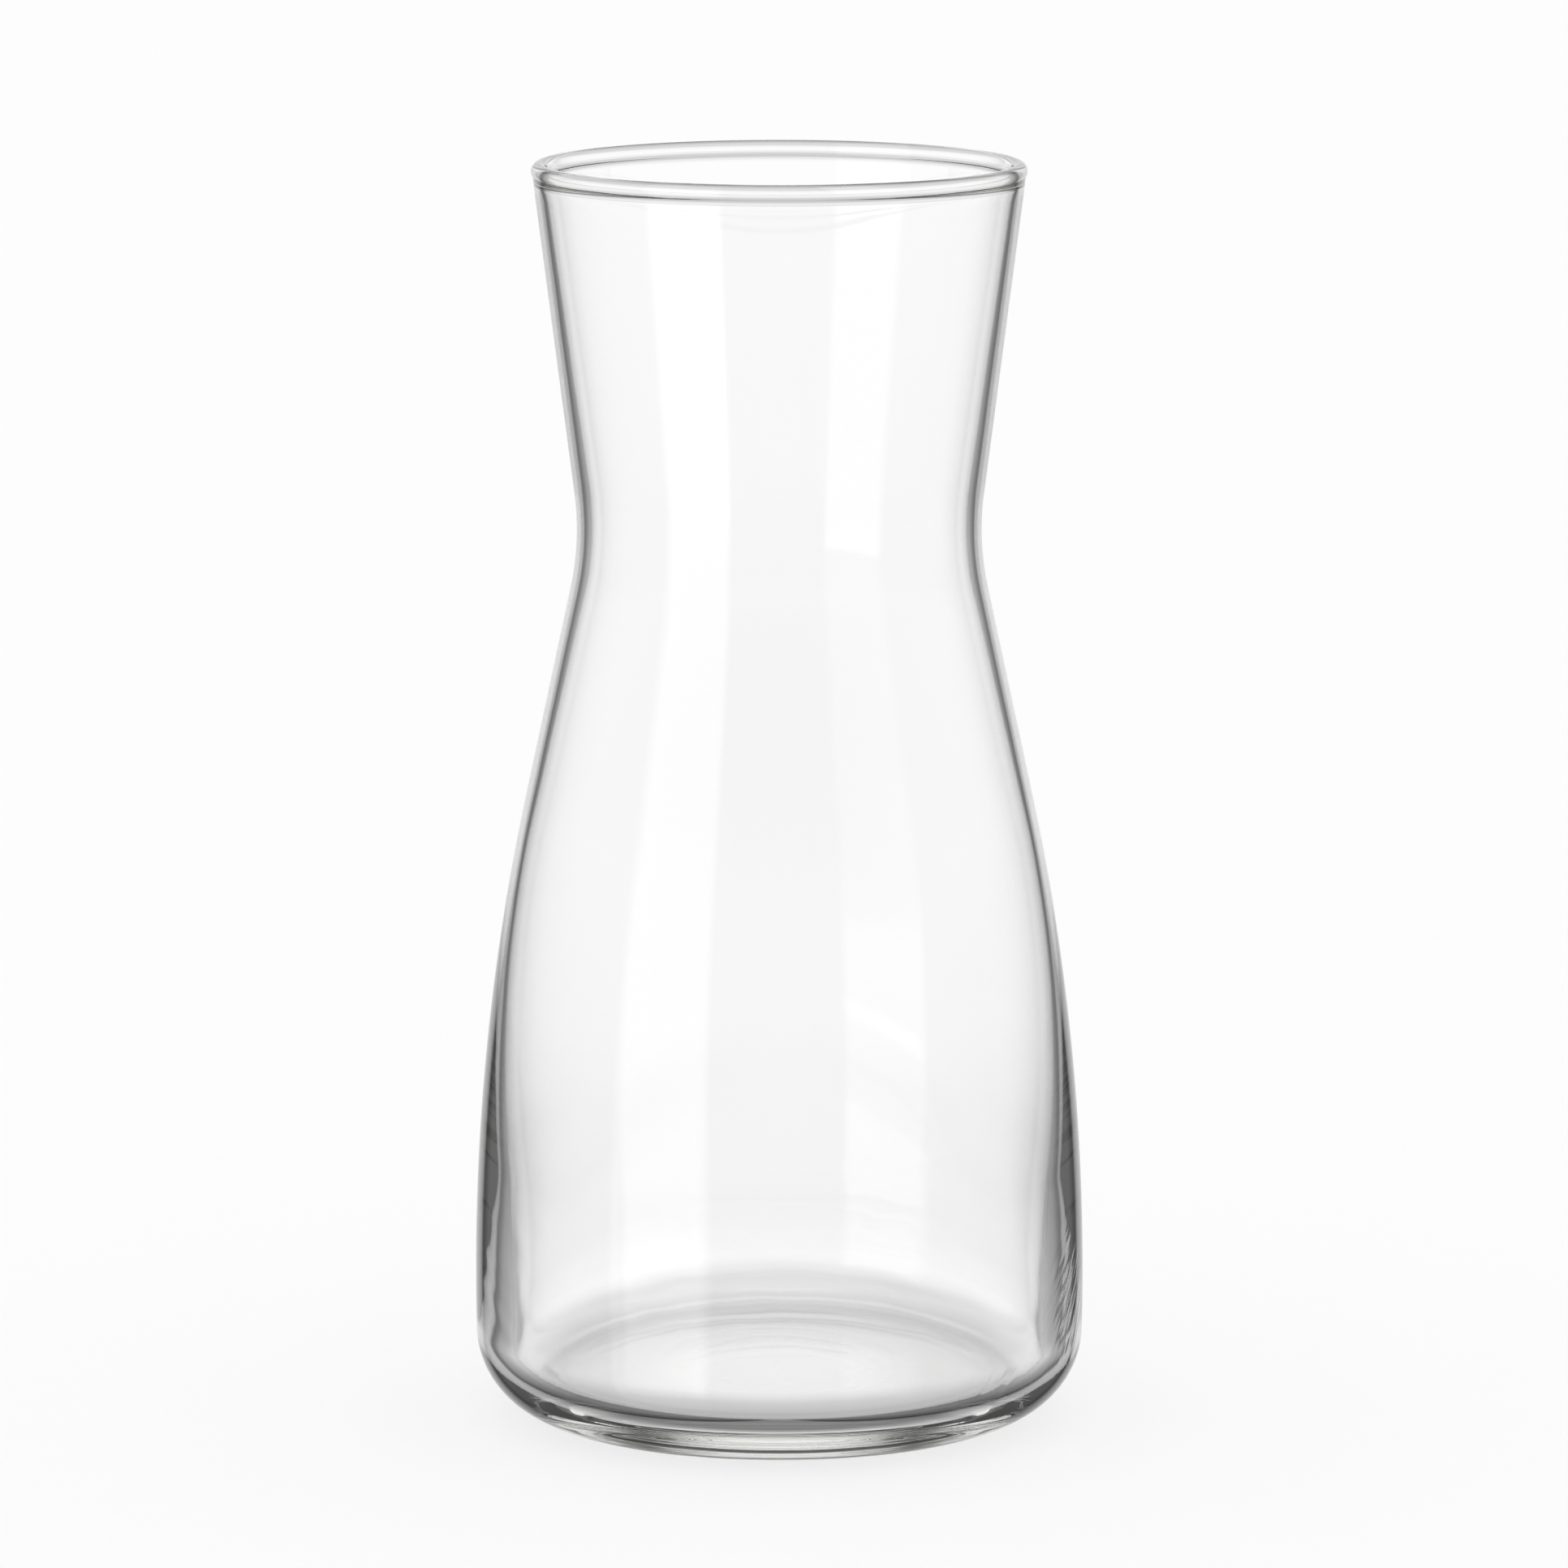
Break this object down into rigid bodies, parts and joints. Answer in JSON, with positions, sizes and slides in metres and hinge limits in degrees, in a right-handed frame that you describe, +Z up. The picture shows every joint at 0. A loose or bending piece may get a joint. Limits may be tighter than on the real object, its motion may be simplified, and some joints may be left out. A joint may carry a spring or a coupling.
{
  "type": "water carafe",
  "caption": "Clear glass water carafe with a heavy rounded foot, a waist that serves as the grip and a flared neck with a fire-polished rim for pouring.",
  "frame": {"origin": "centre of the flat foot ring, on the table plane", "axes": "+Z up along the axis of the glass, towards the mouth; the glass is round, so +X and +Y are any two level directions"},
  "size_m": [0.104, 0.104, 0.2145],
  "materials": {
    "clear_glass": "clear, smooth, fire-polished rim"
  },
  "bodies": {
    "root": {"carafe_glass": "clear_glass"}
  },
  "joints": []
}
